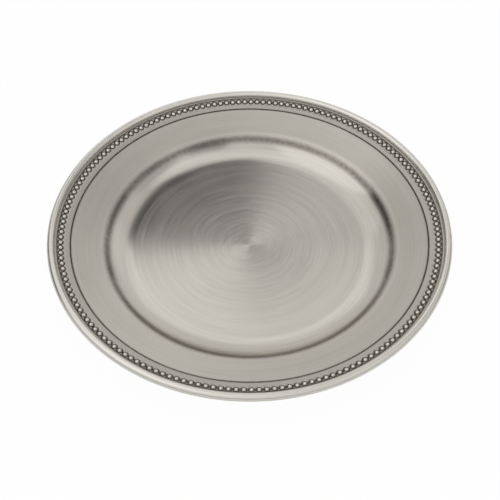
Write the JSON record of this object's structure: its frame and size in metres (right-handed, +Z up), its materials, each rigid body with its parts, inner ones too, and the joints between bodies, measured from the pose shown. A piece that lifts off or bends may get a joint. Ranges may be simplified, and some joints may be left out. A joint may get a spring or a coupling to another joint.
{
  "type": "beaded rim plate",
  "caption": "Round shallow metal plate with a flat well, a sloping rim, an applied border of small beads and a rounded edging closed over a wire.",
  "frame": {"origin": "centre of the flat underside, on the surface that the plate stands on", "axes": "+Z up along the plate's axis, +Y away from the viewer, the first bead of the row on +X"},
  "size_m": [0.33, 0.33, 0.0256],
  "materials": {
    "spun_sheet": "satin, brushed in rings on a lathe",
    "struck_border": "satin, darkened in the hollows",
    "rolled_edging": "satin to semi-bright",
    "core_wire": "drawn, unpolished"
  },
  "bodies": {
    "root": {"dish": "spun_sheet", "bead_strip": "struck_border", "rim_edging": "rolled_edging", "edging_wire": "core_wire"}
  },
  "joints": []
}
